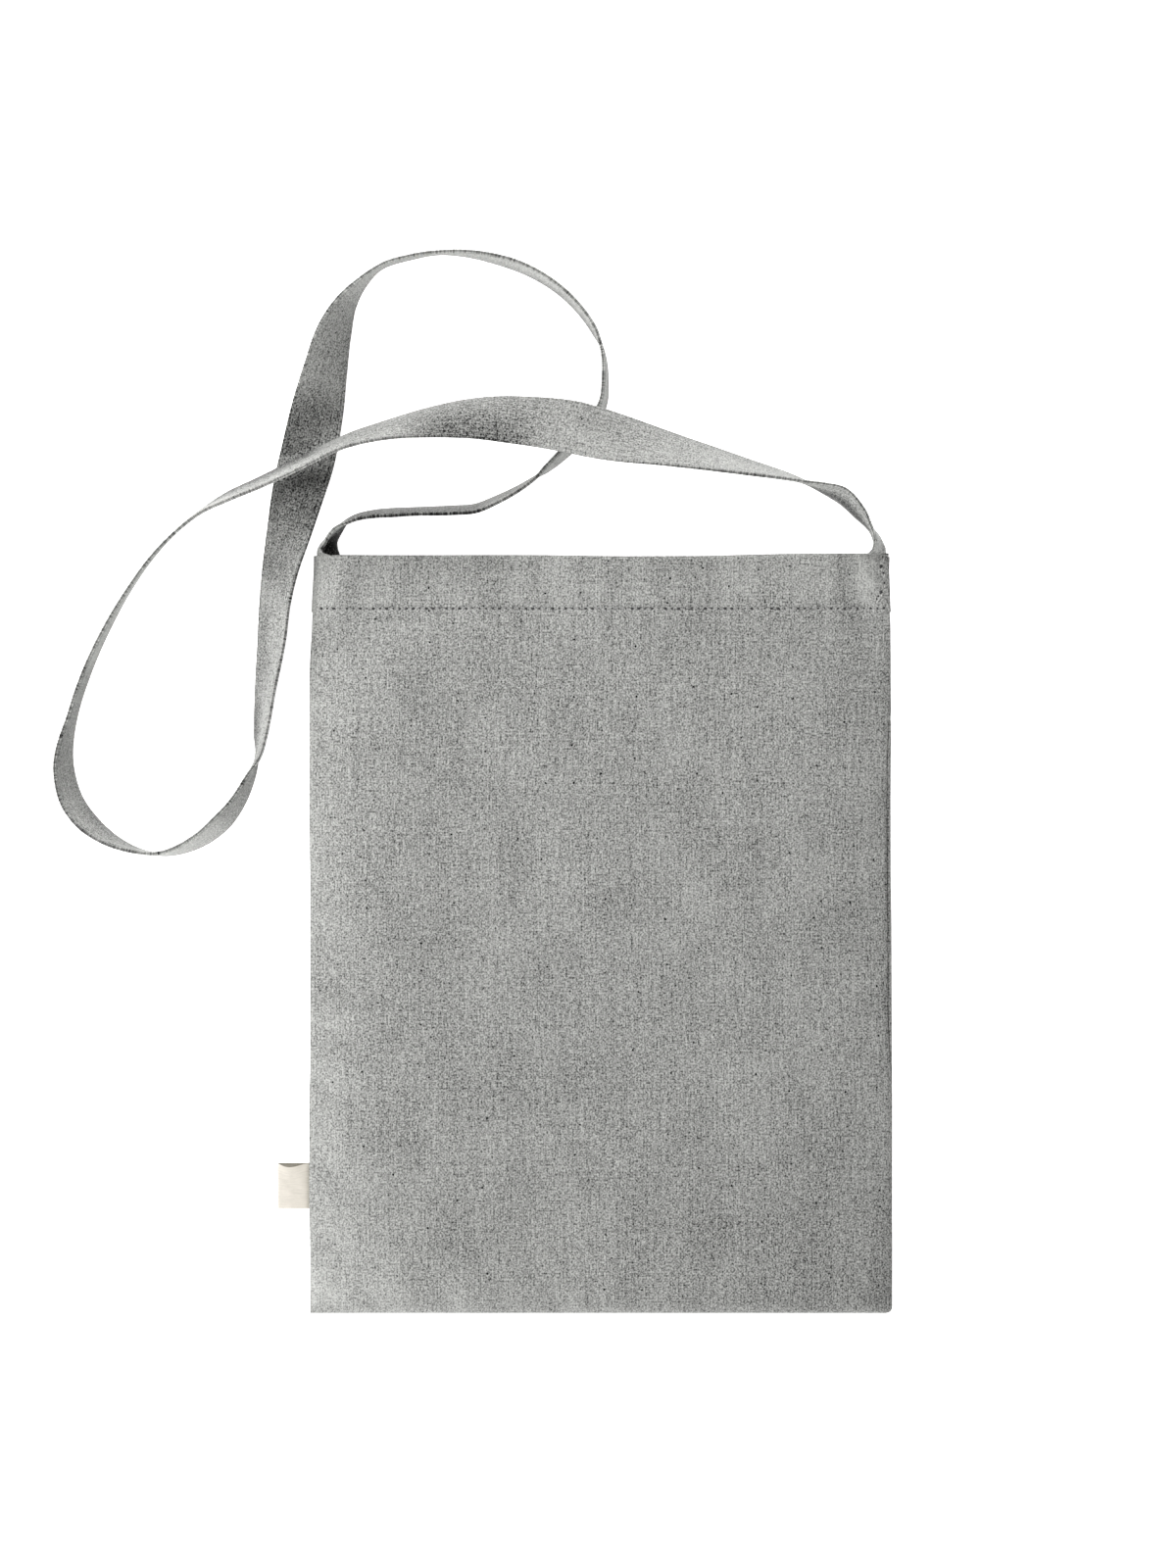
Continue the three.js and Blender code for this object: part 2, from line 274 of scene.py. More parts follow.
def flecks(tree, where, scale, size, share):
    """Round specks of fibre: 1 in the middle of some cells of a scattered pattern, 0 outside them."""
    cells = put(tree, "ShaderNodeTexVoronoi", {"voronoi_dimensions": "2D"}, Vector=where, Scale=scale)
    spot = put(
        tree,
        "ShaderNodeMapRange",
        {"interpolation_type": "SMOOTHSTEP"},
        n0=cells.outputs["Distance"],
        n1=size * scale,
        n2=SPECK_CORE * size * scale,
    ).outputs[0]
    chosen = put(tree, "ShaderNodeSeparateColor", None, Color=cells.outputs["Color"]).outputs[0]
    return calc(tree, "MULTIPLY", spot, calc(tree, "GREATER_THAN", share, chosen))


print("weave of", round(10 * MM / YARN_PITCH), "yarns a cm")

# %% [markdown]
# The shade of the cotton is a sum about one half: streaks along warp and weft, a grain as fine as the yarn
# and wide clouds, then the weave itself, the flecks and the tone of the point. A ramp turns the shade into
# colour, from black at 0 over the cloth's own grey to twice that grey at 1. The relief of the weave and the
# grain is a bump, because a yarn is far too thin for the mesh.

# %% Woven grey cotton
# How strongly each part of the shade shows, its width and length along the warp, and its detail
SHADE_PARTS = [
    (0.07, 0.8 * MM, 70 * MM, 1.0),
    (0.09, 0.9 * MM, 11 * MM, 2.0),
    (0.035, 65 * MM, 0.8 * MM, 1.0),
    (0.05, 9 * MM, 0.9 * MM, 2.0),
    (0.42, 0.95 * MM, 1.05 * MM, 2.0),
    (0.13, 2.4 * MM, 3.4 * MM, 2.0),
    (0.06, 34 * MM, 42 * MM, 3.0),
]
# Cells a metre, reach of a fleck, share of the cells that hold one, and how it shifts the shade
FLECKS = [
    (60, 0.8 * MM, 0.28, -0.62),
    (170, 0.6 * MM, 0.30, -0.16),
    (150, 0.65 * MM, 0.30, 0.26),
]
MIDDLE_SHADE = 0.5
WEAVE_SHADE = 0.08
GRAIN = 1.0 * MM
GRAIN_RELIEF = 0.35


def woven_cotton(name, shade_of_grey):
    """A matte plain weave whose shade runs evenly from black over its own grey to twice that grey."""
    finish, tree, shader = new_finish(name)
    where = put(tree, "ShaderNodeUVMap", {"uv_map": "yarn"}).outputs[0]
    height = weave(tree, where)
    shade = MIDDLE_SHADE
    for part, (amount, wide, tall, detail) in enumerate(SHADE_PARTS):
        size = (1 / wide, 1 / tall, 1)
        shift = (3.7 * part, 1.9 * part, 0)
        drift = patches(tree, where, 1.0, detail, 0.6, size, shift)
        shade = calc(tree, "MULTIPLY_ADD", drift, amount, shade)
    shade = calc(tree, "SUBTRACT", shade, WEAVE_SHADE / 2)
    shade = calc(tree, "MULTIPLY_ADD", height, WEAVE_SHADE, shade)
    for cells, reach, share, amount in FLECKS:
        shade = calc(tree, "MULTIPLY_ADD", flecks(tree, where, cells, reach, share), amount, shade)
    shade = calc(tree, "ADD", shade, point_tone(tree))
    colour_by(tree, shader, shade, (0, 0, 0), tuple(2 * tint for tint in shade_of_grey))
    grain = patches(tree, where, 1 / GRAIN, 2.0, 0.7, shift=(31, 15, 0))
    raise_by(tree, shader, calc(tree, "MULTIPLY_ADD", grain, GRAIN_RELIEF, height), 0.45, 0.12 * MM)
    rough = calc(tree, "MULTIPLY_ADD", grain, 0.03, 0.92)
    tree.links.new(rough, shader.inputs["Roughness"])
    shader.inputs["Specular IOR Level"].default_value = 0.2
    shader.inputs["Sheen Weight"].default_value = 0.08
    shader.inputs["Sheen Roughness"].default_value = 0.5
    return finish


grey_cotton = woven_cotton("grey_cotton", (0.268, 0.270, 0.260))
print("finish:", grey_cotton.name)

# %% [markdown]
# Both panels share one outline: a rectangle that narrows a little to the mouth, with the right bottom
# corner turned out rounder than the left one. A sewn edge is never quite straight, so a few rows give how
# far each side strays from its line. Along a stretch of the right seam the back panel rolls over the
# edge, so the front panel is drawn in there by a millimetre or two.

# %% Outline of the panels
back_low, back_high = (np.array(corner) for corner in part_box("back_panel"))
BOTTOM_DROP = 1.3 * MM
BOTTOM = back_low[1] - BOTTOM_DROP
MOUTH = back_high[1]
HALF_WIDTH = (back_high[0] - back_low[0]) / 2
CORNER = 3.5 * MM
SEAM_ROLL = 2.0 * MM
ROLL_FROM = -40 * MM
ROLL_TO = 90 * MM
ROLL_FADE = 50 * MM


def ease(value, start, end):
    """Rises from 0 at start to 1 at end with level ends: three t squared less two t cubed."""
    t = np.clip((value - start) / (end - start), 0, 1)
    return t * t * (3 - 2 * t)


def rolled(y):
    """How far the right seam is rolled over, from 0 to 1: up over one fade and down over the next."""
    return ease(y, ROLL_FROM - ROLL_FADE, ROLL_FROM) - ease(y, ROLL_TO, ROLL_TO + ROLL_FADE)


# Height in mm, and how far the left and the right edge are outside the half width there
EDGES = np.array(
    [
        (-210, 0.2, 0.7),
        (-172, 0.3, 0.65),
        (-156, 0.6, 0.55),
        (-92, 0.7, 0.6),
        (-70, 0.1, 0.5),
        (-36, 0.2, 0.45),
        (4, 0.3, 0.3),
        (31, 0.25, -0.1),
        (75, 0.85, -0.2),
        (112, 0.5, 0.1),
        (139, 0.75, -0.2),
        (153, 0.2, -0.2),
        (167, -0.75, -0.4),
        (181, -1.3, -1.2),
        (201, -2.4, -1.9),
        (210, -2.5, -1.4),
    ]
)


def side_edges(y, roll):
    """Left and right edge at height y: the half width, what the rows add, a round corner and the roll."""
    left = np.interp(y / MM, EDGES[:, 0], EDGES[:, 1]) * MM
    right = np.interp(y / MM, EDGES[:, 0], EDGES[:, 2]) * MM
    below = np.clip(CORNER - (y - BOTTOM), 0, CORNER)
    cut = CORNER - np.sqrt(CORNER**2 - below**2)
    return -HALF_WIDTH - left, HALF_WIDTH + right - cut - roll * SEAM_ROLL * rolled(y)


print("outline", round(2 * HALF_WIDTH / MM), "by", round((MOUTH - BOTTOM) / MM), "mm")

# %% [markdown]
# The front panel is one sheet of cloth sewn down on three sides. It could be left to fall in a cloth
# simulation, but its swell is so low and even that formulas come closer. The first ones are for what a
# seam and old folds leave in cloth: the thread draws short puckers into the edge, between tight stitches
# the cloth of the left and the bottom seam swells into low bulges that end in slanting creases, and the
# whole sheet keeps low waves from having been folded.

# %% Puckers, bulges and waves
PUCKER_HIGH = 0.3 * MM
PUCKER_REACH = 6 * MM
PUCKER_WAVES = (3.1 * MM, 5.3 * MM)
PUCKER_DRIFT = 13 * MM
BULGE_HIGH = 0.5 * MM
BULGE_LONG = 31 * MM
BULGE_REACH = 9 * MM
BULGE_DRIFT = 41 * MM
CREASE_AT = 0.86
CREASE_SLANT = 0.5
WAVE_COUNT = 46
WAVE_STEEP = 0.001

waves = np.random.default_rng(11)
WAVE_LENGTH = np.exp(waves.uniform(np.log(26 * MM), np.log(180 * MM), WAVE_COUNT))
WAVE_TURN = waves.uniform(0, 2 * np.pi, WAVE_COUNT)
WAVE_PHASE = waves.uniform(0, 2 * np.pi, WAVE_COUNT)


def crumple(x, y):
    """Low waves in all directions: a sum of sines, each as high as a thousandth of its length."""
    total = np.zeros(np.broadcast(x, y).shape)
    for length, turn, phase in zip(WAVE_LENGTH, WAVE_TURN, WAVE_PHASE):
        along = x * np.cos(turn) + y * np.sin(turn)
        total += WAVE_STEEP * length * np.sin(2 * np.pi * along / length + phase)
    return total


def swell(distance, reach):
    """A hill that starts at a seam: 0 there, 1 at reach, then dying out as t times an exponential."""
    return distance / reach * np.exp(1 - distance / reach)


def pucker(distance, along):
    """Short uneven waves along a seam: two sines, the first of a drifting phase, under a hill at the seam."""
    wave = np.sin(along / PUCKER_WAVES[0] + 1.7 * np.sin(along / PUCKER_DRIFT))
    wave += 0.6 * np.sin(along / PUCKER_WAVES[1] + 0.8)
    return PUCKER_HIGH * wave * swell(distance, PUCKER_REACH)


def bulges(distance, along):
    """Bulges between tight stitches, from 0 to 1: an uneven saw tooth of the length along the seam.

    Each rises slowly and falls steeply. The tooth lags with the distance from the seam, so that its
    crease slants, and it stands under a hill at the seam."""
    turns = along / BULGE_LONG + 0.4 * np.sin(along / BULGE_DRIFT) - CREASE_SLANT * distance / BULGE_LONG
    share = turns - np.floor(turns)
    tooth = ease(share, 0, CREASE_AT) - ease(share, CREASE_AT, 1)
    return tooth * swell(distance, BULGE_REACH)


def seam_bulges(x, y):
    """The bulges of the left seam, fading out towards the mouth, and of the bottom seam, to the right."""
    from_left = np.maximum(x - side_edges(y, 1)[0], 0)
    beside = bulges(from_left, -y) * ease(-y, -50 * MM, 60 * MM)
    return beside + bulges(y - BOTTOM, -x) * ease(-x, -90 * MM, 20 * MM)


print(WAVE_COUNT, "waves of", round(WAVE_LENGTH.min() / MM), "to", round(WAVE_LENGTH.max() / MM), "mm")

# %% [markdown]
# Air under the sheet makes a low pillow. On the right and at the bottom it comes up steeply at the seam and
# is soon level, which a quarter of an ellipse gives, and on the left it is a gentler slope. The strap's
# folded ends lie under both upper corners, and there it is the other way round. They prop the corners up,
# and the label raises the seam beside it.

# %% Curves of the pillow
SLOPE_POWER = 1.6


def quarter(distance, reach):
    """A quarter of an ellipse: 0 and upright at the seam, 1 and level at reach."""
    left = np.clip(1 - distance / reach, 0, 1)
    return np.sqrt(1 - left**2)


def slope(distance, reach):
    """A slope that eases out: 0 at the seam, 1 and level at reach, one less a power of what is left."""
    return 1 - np.clip(1 - distance / reach, 0, 1) ** SLOPE_POWER


def hump(t):
    """A smooth hill: 0 and level at 0, 1 at 1, then dying out as t squared times an exponential."""
    return t * t * np.exp(2 - 2 * t)


def bell(value, width):
    """A bell: 1 at 0, dying out to both sides as an exponential of less the square over the width."""
    return np.exp(-((value / width) ** 2))


print("half way in, the ellipse is at", round(float(quarter(0.5, 1)), 2), end=" ")
print("and the slope at", round(float(slope(0.5, 1)), 2))

# %% Height of the front panel
HEM_DEPTH = 29 * MM
HEM_LINE = MOUTH - HEM_DEPTH
LOFT = 12 * MM
LEFT_SHOULDER = 46 * MM
RIGHT_SHOULDER = 60 * MM
TAIL_SHOULDER = 18 * MM
RIGHT_REACH = 32 * MM
BOTTOM_SHOULDER = 14 * MM
PLAIN_SEAM = 2.2 * MM
TAIL_SEAM = 4.2 * MM
RIGHT_TAIL_SEAM = 9.4 * MM
LABEL_SEAM = 4.6 * MM
RIGHT_SEAM = 4.6 * MM
SEAM_GAP = 0.2 * MM
CORNER_FADE = 45 * MM
LABEL_FADE = 14 * MM
RIGHT_FADE = 30 * MM
LABEL_Y = -139 * MM
LABEL_TALL = 25 * MM
LEFT_LIFT = 8.5 * MM
RIGHT_LIFT = 1.0 * MM
PROP_AT = 17.5 * MM
NIP_DEEP = 0.2 * MM
HEM_STEP = 0.5 * MM


def tail(y):
    """How much of the strap's folded end lies in the side seam at this height, from 0 to 1."""
    return ease(y, HEM_LINE - 24 * MM, HEM_LINE - 1 * MM)


def front_seam(x, y):
    """Height of the sewn edge: low, and raised over the strap's ends, over the label and on the right."""
    label = 1 - ease(np.abs(y - LABEL_Y) - LABEL_TALL / 2, 0.1 * MM, LABEL_FADE)
    right = (1 - ease(side_edges(y, 1)[1] - x, 0, RIGHT_FADE)) * ease(y, BOTTOM, BOTTOM + CORNER_FADE)
    beside = np.where(x < 0, (LABEL_SEAM - PLAIN_SEAM) * label, (RIGHT_SEAM - PLAIN_SEAM) * right)
    over_tail = np.where(x < 0, TAIL_SEAM - PLAIN_SEAM, (RIGHT_TAIL_SEAM - PLAIN_SEAM) * right) * tail(y)
    return PLAIN_SEAM + SEAM_GAP + np.maximum(over_tail, beside)


def front_height(x, y):
    """The pillow: from the seam's height up to the loft by the rise from all three seams.

    Then come the corner props, the low waves, the nip along the hem's stitches and the hem's second
    layer, and last the puckers and bulges, which are level at the seam itself."""
    left, right = side_edges(y, 1)
    from_left = np.maximum(x - left, 0)
    from_right = np.maximum(right - x, 0)
    propped = tail(y)
    left_up = (1 - propped) * slope(from_left, LEFT_SHOULDER) + propped * quarter(from_left, TAIL_SHOULDER)
    right_up = (1 - propped) * quarter(from_right, RIGHT_SHOULDER) + propped * slope(from_right, RIGHT_REACH)
    rise = left_up * right_up * quarter(y - BOTTOM, BOTTOM_SHOULDER)
    seam = front_seam(x, y)
    prop = LEFT_LIFT * hump(from_left / PROP_AT) + RIGHT_LIFT * hump(from_right / PROP_AT)
    prop = prop * ease(y, HEM_LINE - 10 * MM, MOUTH)
    nip = -NIP_DEEP * bell(y - HEM_LINE, 1.0 * MM)
    hem = HEM_STEP * ease(y, HEM_LINE - 0.5 * MM, HEM_LINE + 1.5 * MM)
    drawn = pucker(from_left, y) + pucker(from_right, y + 0.3) + pucker(y - BOTTOM, x)
    drawn = (drawn + BULGE_HIGH * seam_bulges(x, y)) * ease(rise, 0, 0.15)
    return seam + (LOFT - seam) * rise + prop + rise * (crumple(x, y) + nip + hem) + drawn


middle_height = float(front_height(np.array(0.0), np.array(0.0)))
print("front panel", round(middle_height / MM, 1), "mm high in its middle")

# %% [markdown]
# The sheet itself is that height on a grid that is finer near the seams. At the mouth it turns over a
# round fold and comes back down inside as the hem. The mouth isn't quite straight, so a few rows give how
# far it strays. The cloth coordinates are lengths measured on the sheet from its middle.

# %% Rows and lengths of a hemmed sheet
FOLD = 0.75 * MM
FOLD_STEPS = 8
INSIDE_STEPS = 12

# Place along the mouth in mm, and how far the hem's fold is above its line there
MOUTH_ROWS = np.array(
    [
        (-160, 0.1),
        (-60, 0.45),
        (-30, 0.4),
        (10, -0.2),
        (55, -0.1),
        (85, 0.7),
        (105, 1.1),
        (160, 1.45),
    ]
)


def mouth_drift(x, y):
    """How far the cloth is drawn up to the mouth: what the rows give at x, fading down to the stitches."""
    at_mouth = np.interp(x / MM, MOUTH_ROWS[:, 0], MOUTH_ROWS[:, 1]) * MM
    return at_mouth * ease(y, HEM_LINE - 5 * MM, MOUTH)


def spread(count, pull):
    """Even values from 0 to 1, drawn towards both ends by a sine."""
    t = np.linspace(0, 1, count)
    return t - pull * np.sin(2 * np.pi * t) / (2 * np.pi)


def hemmed_rows(rows):
    """Height and turn of each row of a panel: flat rows to the mouth, half a turn, the hem's rows down."""
    fold = np.linspace(0, np.pi, FOLD_STEPS)[1:]
    inside = np.linspace(MOUTH - FOLD, HEM_LINE - 2 * MM, INSIDE_STEPS)[1:]
    y = np.concatenate([rows, np.full(len(fold), MOUTH - FOLD), inside])
    turn = np.concatenate([np.zeros(len(rows)), fold, np.full(len(inside), np.pi)])
    return y[:, None], turn[:, None]


def way_past_fold(y, turn):
    """Height of a row as if the hem weren't turned: round the fold and on past the mouth."""
    return np.where(turn < np.pi, y + FOLD * turn, 2 * MOUTH - y)


def cloth_lengths(points):
    """Cloth coordinates of a grid: steps added up along its rows and columns, from its middle point."""
    across = np.linalg.norm(np.diff(points, axis=1), axis=-1).cumsum(1)
    along = np.linalg.norm(np.diff(points, axis=0), axis=-1).cumsum(0)
    across = np.pad(across, ((0, 0), (1, 0)))
    along = np.pad(along, ((1, 0), (0, 0)))
    row, column = points.shape[0] // 2, points.shape[1] // 2
    lengths = np.stack([across - across[:, [column]], along - along[[row]]], -1)
    return lengths + points[row, column, :2]


print("hem of", FOLD_STEPS + INSIDE_STEPS - 2, "rows")

# %% Grid of the front panel
FRONT_COLUMNS = 186
FRONT_ROWS = 204

front_rows = BOTTOM + (MOUTH - FOLD - BOTTOM) * spread(FRONT_ROWS, 0.82)
front_rows = np.unique(np.concatenate([front_rows, HEM_LINE + np.linspace(-2, 2, 9) * MM]))
front_y, front_turn = hemmed_rows(front_rows)
front_left, front_right = side_edges(front_y, 1)
front_x = front_left + (front_right - front_left) * spread(FRONT_COLUMNS, 0.92)
from_left = front_x - front_left
from_right = front_right - front_x
front_fold = FOLD * (0.35 + 0.65 * quarter(np.minimum(from_left, from_right), 4 * MM))
front_z = front_height(front_x, front_y) - front_fold * (1 - np.cos(front_turn))
front_at = front_y + mouth_drift(front_x, front_y) + FOLD * np.sin(front_turn)
front_points = np.stack([front_x, front_at, front_z], -1)
print("front panel grid", front_x.shape)

# %% [markdown]
# The tone of the front panel at each point is mostly painted light and shade. A painted highlight
# lightens the fold at the mouth, the left edge and the bulges along the seams. Painted light makes the
# left side lighter, most at the bottom, and painted shade keeps the low right side darker. The hem is
# lighter in uneven patches where the layer inside presses through, and painted light lightens it near the
# right corner. Two lines are painted shadow: the right seam where the back panel rolls over it, and the
# fold of the hem where it closes over the strap's right end.

# %% Painted light and shade of the front panel, and patches of its hem
PATCH_COUNT = 7

front_run = way_past_fold(front_y, front_turn)
# Painted highlight on the mouth fold, the left edge and the bulges along the seams.
fold_highlight = 0.07 * bell(front_run - MOUTH, 1.6 * MM)
rim_highlight = 0.1 * bell(from_left, 2.5 * MM)
bulge_highlight = 0.11 * seam_bulges(front_x, front_y)
# Painted light and shade: the left side lighter, the low left lighter and the low right darker.
left_side_light = (0.07 - 0.05 * bell(front_y + 28 * MM, 60 * MM)) * bell(from_left, 26 * MM)
low_side_light = 0.06 * ease(-front_x, 70 * MM, 120 * MM) - 0.045 * ease(front_x, -10 * MM, 90 * MM)
low_side_light = low_side_light * ease(-front_y, 90 * MM, 170 * MM)
pressed = np.random.default_rng(7)
PATCH_LENGTH = pressed.uniform(14 * MM, 46 * MM, PATCH_COUNT)
PATCH_PHASE = pressed.uniform(0, 2 * np.pi, PATCH_COUNT)
hem_patches = 0.02 * np.sin(2 * np.pi * front_x[..., None] / PATCH_LENGTH + PATCH_PHASE).sum(-1)
# The hem is lighter in uneven patches, and painted light lightens it more near the right corner.
hem_tone_and_light = 0.05 * ease(front_y, HEM_LINE - 3 * MM, HEM_LINE + 8 * MM)
hem_tone_and_light = hem_tone_and_light + hem_patches * ease(front_run, HEM_LINE, HEM_LINE + 4 * MM)
hem_tone_and_light = hem_tone_and_light * (1 + 1.8 * bell(from_right - 13 * MM, 6 * MM))
# Painted shadow: a dark line on the rolled right seam and on the hem's fold over the strap's end.
rolled_seam_shadow = -0.36 * bell(from_right, 0.3 * MM) * rolled(front_y)
strap_end_shadow = -0.4 * ease(front_run, MOUTH - 0.7 * MM, MOUTH - 0.3 * MM) * ease(front_x, 146 * MM, 149 * MM)
front_tone = fold_highlight + rim_highlight + bulge_highlight + left_side_light + low_side_light + hem_tone_and_light + rolled_seam_shadow + strap_end_shadow
print("front tones from", round(float(front_tone.min()), 2), "to", round(float(front_tone.max()), 2))

# %% [markdown]
# Solidify gives a sheet the thickness of the cloth on its inner side, so that the outer side stays where
# the formula puts it. The rim is marked sharp, or smooth shading would darken the edge.

# %% Front panel
CLOTH = 0.6 * MM


def thicken(piece, thickness):
    """Gives an open sheet its thickness on the inner side, with closed rims that meet its faces sharply."""
    mesh = piece.data
    edge = np.empty(len(mesh.loops), dtype=np.int32)
    mesh.loops.foreach_get("edge_index", edge)
    rim = np.bincount(edge, minlength=len(mesh.edges)) == 1
    mesh.attributes.new("sharp_edge", "BOOLEAN", "EDGE").data.foreach_set("value", rim)
    wall = piece.modifiers.new("thickness", "SOLIDIFY")
    wall.thickness = thickness
    wall.offset = -1
    wall.use_rim = True


front_faces = grid_faces(*front_x.shape)
front_yarn = cloth_lengths(front_points)
front_cloth = cloth_piece("front_cloth", front_points, front_faces, front_yarn, grey_cotton, front_tone)
thicken(front_cloth, CLOTH)
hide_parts("front_panel")

# %% [markdown]
# The back panel lies flat on the table. Its sewn edges curl up by a quarter turn to meet the front
# panel, and where the right seam rolls over they go on past the upright, so that a narrow strip of the
# back shows from above beside a dark seam line of painted shadow. Painted shade darkens that strip too,
# and a painted highlight lightens the fold at the mouth. It has the same hem at the mouth, turned upwards.

# %% Grid of the back panel
CURL = 2.5 * MM
CURL_STEPS = 9
BACK_COLUMNS = 70
BACK_ROWS = 110
BACK_PULL = 0.6
ROLL_TURN = 0.78

curl_share = np.linspace(0, 1, CURL_STEPS)
edge_curl = curl_share[:0:-1]
column_side = np.concatenate([-edge_curl, np.zeros(BACK_COLUMNS), curl_share[1:]])
column_flat = np.pad(spread(BACK_COLUMNS, BACK_PULL), CURL_STEPS - 1, constant_values=(0, 1))
row_flat = BOTTOM + CURL + (MOUTH - FOLD - BOTTOM - CURL) * spread(BACK_ROWS, BACK_PULL)
row_flat = np.concatenate([BOTTOM + CURL * (1 - np.sin(np.pi / 2 * edge_curl)), row_flat])
back_y, back_turn = hemmed_rows(row_flat)
back_rise = np.pi / 2 * np.concatenate([edge_curl, np.zeros(len(back_y) - len(edge_curl))])[:, None]
back_left, back_right = side_edges(back_y, 0)
side_turn = np.pi / 2 * column_side * (1 + ROLL_TURN * rolled(back_y) * (column_side > 0))
back_x = back_left + CURL + (back_right - back_left - 2 * CURL) * column_flat
back_x = back_x + CURL * np.sin(side_turn)
print("back panel grid", back_x.shape)

# %% Height of the back panel
BACK_SEAM = 2.0 * MM
BACK_TAIL_SEAM = 3.2 * MM
BACK_RIGHT_TAIL_SEAM = 9.0 * MM
BACK_RIGHT_SEAM = 4.2 * MM
ROLL_DIP = 1.4 * MM
GROOVE = 0.35 * MM

right_lift = BACK_RIGHT_SEAM - ROLL_DIP * rolled(back_y) - BACK_SEAM
right_lift = right_lift * ease(back_y, BOTTOM, BOTTOM + CORNER_FADE)
seam_lift = np.where(column_side > 0, right_lift, 0)
tail_lift = np.where(column_side > 0, BACK_RIGHT_TAIL_SEAM, BACK_TAIL_SEAM) - BACK_SEAM
seam_at = BACK_SEAM + np.maximum(tail_lift * tail(back_y), seam_lift)
back_z = seam_at * (1 - np.cos(side_turn) * np.cos(back_rise))
back_in = np.minimum(back_x - back_left, back_right - back_x)
back_fold = FOLD * (0.3 + 0.7 * quarter(np.maximum(back_in, 0), 4 * MM))
groove = GROOVE * bell(back_y - HEM_LINE, 1.1 * MM) * (back_turn == 0)
back_z = back_z + back_fold * (1 - np.cos(back_turn)) + groove * (column_side == 0)
back_points = np.stack([back_x, back_y + back_fold * np.sin(back_turn), back_z], -1)
print("back panel", round(float(back_z.max()) / MM, 1), "mm high at its highest seam")

# %% Back panel
YARN_SHIFT = np.array([0.7, 0.0])

back_yarn = cloth_lengths(back_points) + YARN_SHIFT
# Painted highlight along the fold at the mouth, painted shade on the rolled-over strip of the right seam.
back_tone = 0.05 * bell(way_past_fold(back_y, back_turn) - MOUTH, 1.6 * MM)
back_tone = back_tone - 0.12 * rolled(back_y) * (column_side == 1)
back_faces = grid_faces(*back_x.shape)[:, ::-1]
back_cloth = cloth_piece("back_cloth", back_points, back_faces, back_yarn, grey_cotton, back_tone)
thicken(back_cloth, CLOTH)
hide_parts("back_panel")

# %% [markdown]
# The strap is one strip folded to four layers and stitched along both edges. It is stiff enough to
# stand on its lower edge in long loops, and it rolls over to lie flat in two places. The route below
# gives, at each place, where its middle line is, how far the upper edge leans to the right of the way
# along, how far it is folded lengthwise (fully, inside the side seams), how high its lowest point is
# and how far it is bowed across its width. It is the solid's route with more rows, fitted more closely.

